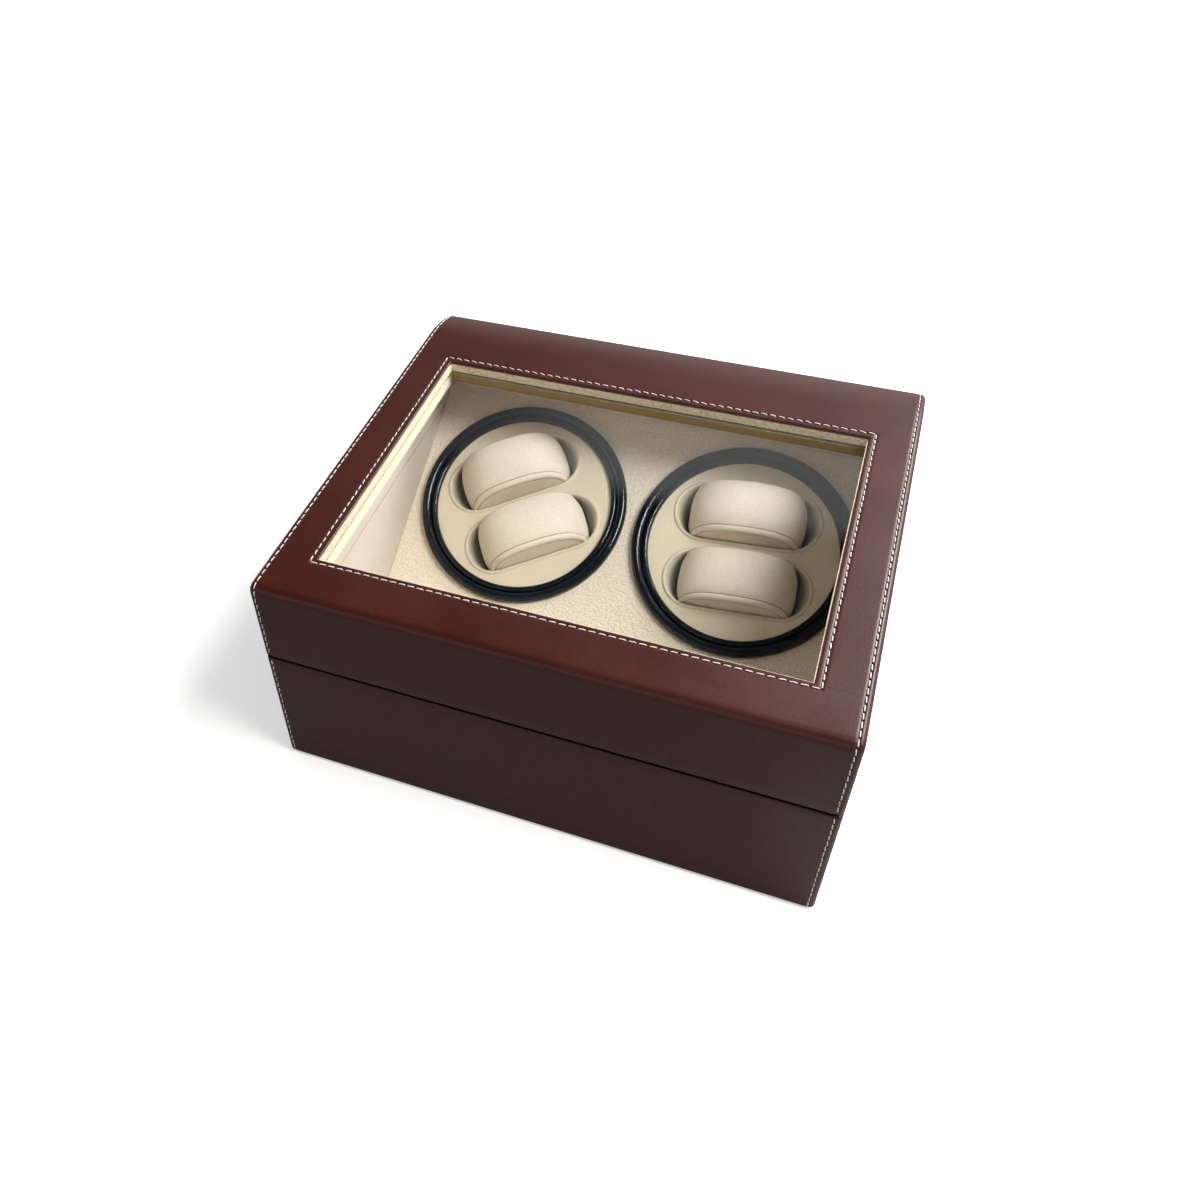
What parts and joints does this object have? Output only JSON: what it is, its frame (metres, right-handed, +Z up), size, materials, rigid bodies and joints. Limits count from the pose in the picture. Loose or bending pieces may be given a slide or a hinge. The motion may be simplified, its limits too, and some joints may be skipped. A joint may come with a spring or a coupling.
{
  "type": "watch winder",
  "caption": "Leather-covered table-top watch winder with a hinged glazed lid, two motor-driven turntables on a sloping deck and lift-out watch cushions.",
  "frame": {"origin": "on the table, under the middle of the whole box with its hinge knuckles", "axes": "+Z up, +X to the right seen from the front, +Y to the back, where the lid's hinges are"},
  "size_m": [0.3298, 0.306, 0.154],
  "materials": {
    "board": "raw fibreboard",
    "leather": "smooth dark brown imitation leather with off-white stitching",
    "lining": "cream lining cloth",
    "felt": "black felt",
    "rubber": "matt",
    "deck_leather": "fine-pebbled cream imitation leather",
    "disc_leather": "smooth cream imitation leather",
    "cushion": "soft cream suede cloth",
    "edging": "woven cream tape",
    "glass": "clear float glass",
    "black_gloss": "polished black",
    "grey_plastic": "dark slate grey, matt",
    "black_plastic": "fine matt",
    "nylon": "natural nylon",
    "steel": "plain turned steel",
    "bronze": "sintered bronze",
    "hinge_metal": "brass plated",
    "circuit": "green circuit board",
    "lead": "insulated wire"
  },
  "bodies": {
    "base": {"back_ledge": "lining", "base_back_panel": "board", "base_floor": "board", "base_front_panel": "board", "base_left_panel": "board", "base_lining": "lining", "base_right_panel": "board", "base_wrap": "leather", "bearing_stands": "black_plastic", "bezel_left": "black_gloss", "bezel_right": "black_gloss", "bushes": "bronze", "control_board": "circuit", "control_plate": "black_plastic", "dc_inlet": "black_plastic", "deck_apron": "lining", "deck_board": "board", "deck_cleats": "board", "deck_skin": "deck_leather", "feet": "rubber", "hinge_base_leaves": "hinge_metal", "hinge_base_screws": "hinge_metal", "hinge_pins": "steel", "leads": "lead", "motor_brackets": "steel", "motor_left": "steel", "motor_right": "steel", "switch_housing": "black_plastic", "underside_felt": "felt"},
    "lid": {"lid_left_panel": "board", "lid_right_panel": "board", "lid_front_panel": "board", "lid_back_panel": "board", "lid_top_panel": "board", "lid_wrap": "leather", "lid_lining": "lining", "window_edging": "edging", "glass_pane": "glass", "glass_frame": "lining", "hinge_lid_leaves": "hinge_metal", "hinge_lid_screws": "hinge_metal"},
    "rocker": {"switch_rocker": "black_plastic"},
    "knob_left": {"mode_knob_left": "black_plastic"},
    "knob_right": {"mode_knob_right": "black_plastic"},
    "turntable_left": {"rim_ring_left": "black_gloss", "disc_left": "disc_leather", "drum_left": "grey_plastic", "ring_gear_left": "nylon", "shaft_left": "steel"},
    "pinion_left": {"pinion_left": "nylon"},
    "cushion_left_upper": {"cushion_left_upper": "cushion"},
    "cushion_left_lower": {"cushion_left_lower": "cushion"},
    "turntable_right": {"rim_ring_right": "black_gloss", "disc_right": "disc_leather", "drum_right": "grey_plastic", "ring_gear_right": "nylon", "shaft_right": "steel"},
    "pinion_right": {"pinion_right": "nylon"},
    "cushion_right_upper": {"cushion_right_upper": "cushion"},
    "cushion_right_lower": {"cushion_right_lower": "cushion"}
  },
  "joints": [
    {"name": "lid_hinge", "type": "hinge", "parent": "base", "child": "lid", "pos_m": [0, 0.15065, 0.09473], "axis": [-1, 0, 0], "range_deg": [0, 95]},
    {"name": "turntable_spin_left", "type": "hinge", "parent": "base", "child": "turntable_left", "pos_m": [-0.07667, 0.05167, 0.06473], "axis": [0, -0.4833, 0.8755], "continuous": true},
    {"name": "pinion_spin_left", "type": "hinge", "parent": "base", "child": "pinion_left", "pos_m": [-0.02558, 0.09842, 0.07523], "axis": [0, -0.4833, 0.8755], "continuous": true},
    {"name": "cushion_lift_left_upper", "type": "slide", "parent": "turntable_left", "child": "cushion_left_upper", "axis": [0, -0.4833, 0.8755], "range_m": [0, 0.04]},
    {"name": "cushion_lift_left_lower", "type": "slide", "parent": "turntable_left", "child": "cushion_left_lower", "axis": [0, -0.4833, 0.8755], "range_m": [0, 0.04]},
    {"name": "turntable_spin_right", "type": "hinge", "parent": "base", "child": "turntable_right", "pos_m": [0.07667, 0.05167, 0.06473], "axis": [0, -0.4833, 0.8755], "continuous": true},
    {"name": "pinion_spin_right", "type": "hinge", "parent": "base", "child": "pinion_right", "pos_m": [0.02558, 0.09842, 0.07523], "axis": [0, -0.4833, 0.8755], "continuous": true},
    {"name": "cushion_lift_right_upper", "type": "slide", "parent": "turntable_right", "child": "cushion_right_upper", "axis": [0, -0.4833, 0.8755], "range_m": [0, 0.04]},
    {"name": "cushion_lift_right_lower", "type": "slide", "parent": "turntable_right", "child": "cushion_right_lower", "axis": [0, -0.4833, 0.8755], "range_m": [0, 0.04]},
    {"name": "power_rocker", "type": "hinge", "parent": "base", "child": "rocker", "pos_m": [-0.02, 0.14085, 0.0275], "axis": [0, 0, 1], "range_deg": [0, 16]},
    {"name": "mode_knob_turn_left", "type": "hinge", "parent": "base", "child": "knob_left", "pos_m": [0.012, 0.13985, 0.0275], "axis": [0, 1, 0], "range_deg": [0, 270]},
    {"name": "mode_knob_turn_right", "type": "hinge", "parent": "base", "child": "knob_right", "pos_m": [0.042, 0.13985, 0.0275], "axis": [0, 1, 0], "range_deg": [0, 270]}
  ],
  "couplings": [
    {"joint": "pinion_spin_left", "follows": "turntable_spin_left", "ratio": -6.8571},
    {"joint": "pinion_spin_right", "follows": "turntable_spin_right", "ratio": -6.8571}
  ]
}
